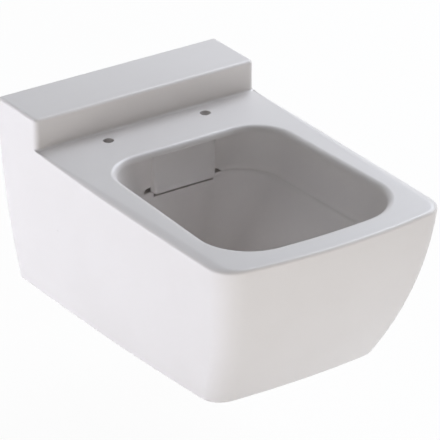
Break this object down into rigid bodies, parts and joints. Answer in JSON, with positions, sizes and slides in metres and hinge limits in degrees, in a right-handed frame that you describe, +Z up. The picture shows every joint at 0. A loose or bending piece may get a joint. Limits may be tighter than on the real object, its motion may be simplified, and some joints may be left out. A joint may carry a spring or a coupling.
{
  "type": "wall hung toilet",
  "caption": "Rimless wall-hung toilet pan in white glazed china, square and fully shrouded, with a raised back ledge and concealed wall brackets.",
  "frame": {"origin": "middle of the line between the two wall fixings, on the finished wall's face", "axes": "+Y into the wall, square to it; +Z up; +X to the right for someone who faces the wall; the bowl stands out along -Y"},
  "size_m": [0.353, 0.54, 0.28],
  "materials": {
    "glazed_china": "glossy white glaze",
    "glazed_china_plate": "glossy white glaze",
    "grey_rubber": "matt moulded rubber",
    "zinc_plated_steel": "satin zinc plate",
    "nylon": "natural moulded nylon",
    "plain_steel": "bright plated steel"
  },
  "bodies": {
    "root": {"pan": "glazed_china", "flush_deflector": "glazed_china_plate", "inlet_seal": "grey_rubber", "left_wall_bracket": "zinc_plated_steel", "right_wall_bracket": "zinc_plated_steel", "left_bracket_cap": "nylon", "right_bracket_cap": "nylon", "left_wedge_pad": "nylon", "right_wedge_pad": "nylon", "stud_washers": "plain_steel", "stud_nuts": "plain_steel", "clamp_screws": "plain_steel"}
  },
  "joints": []
}
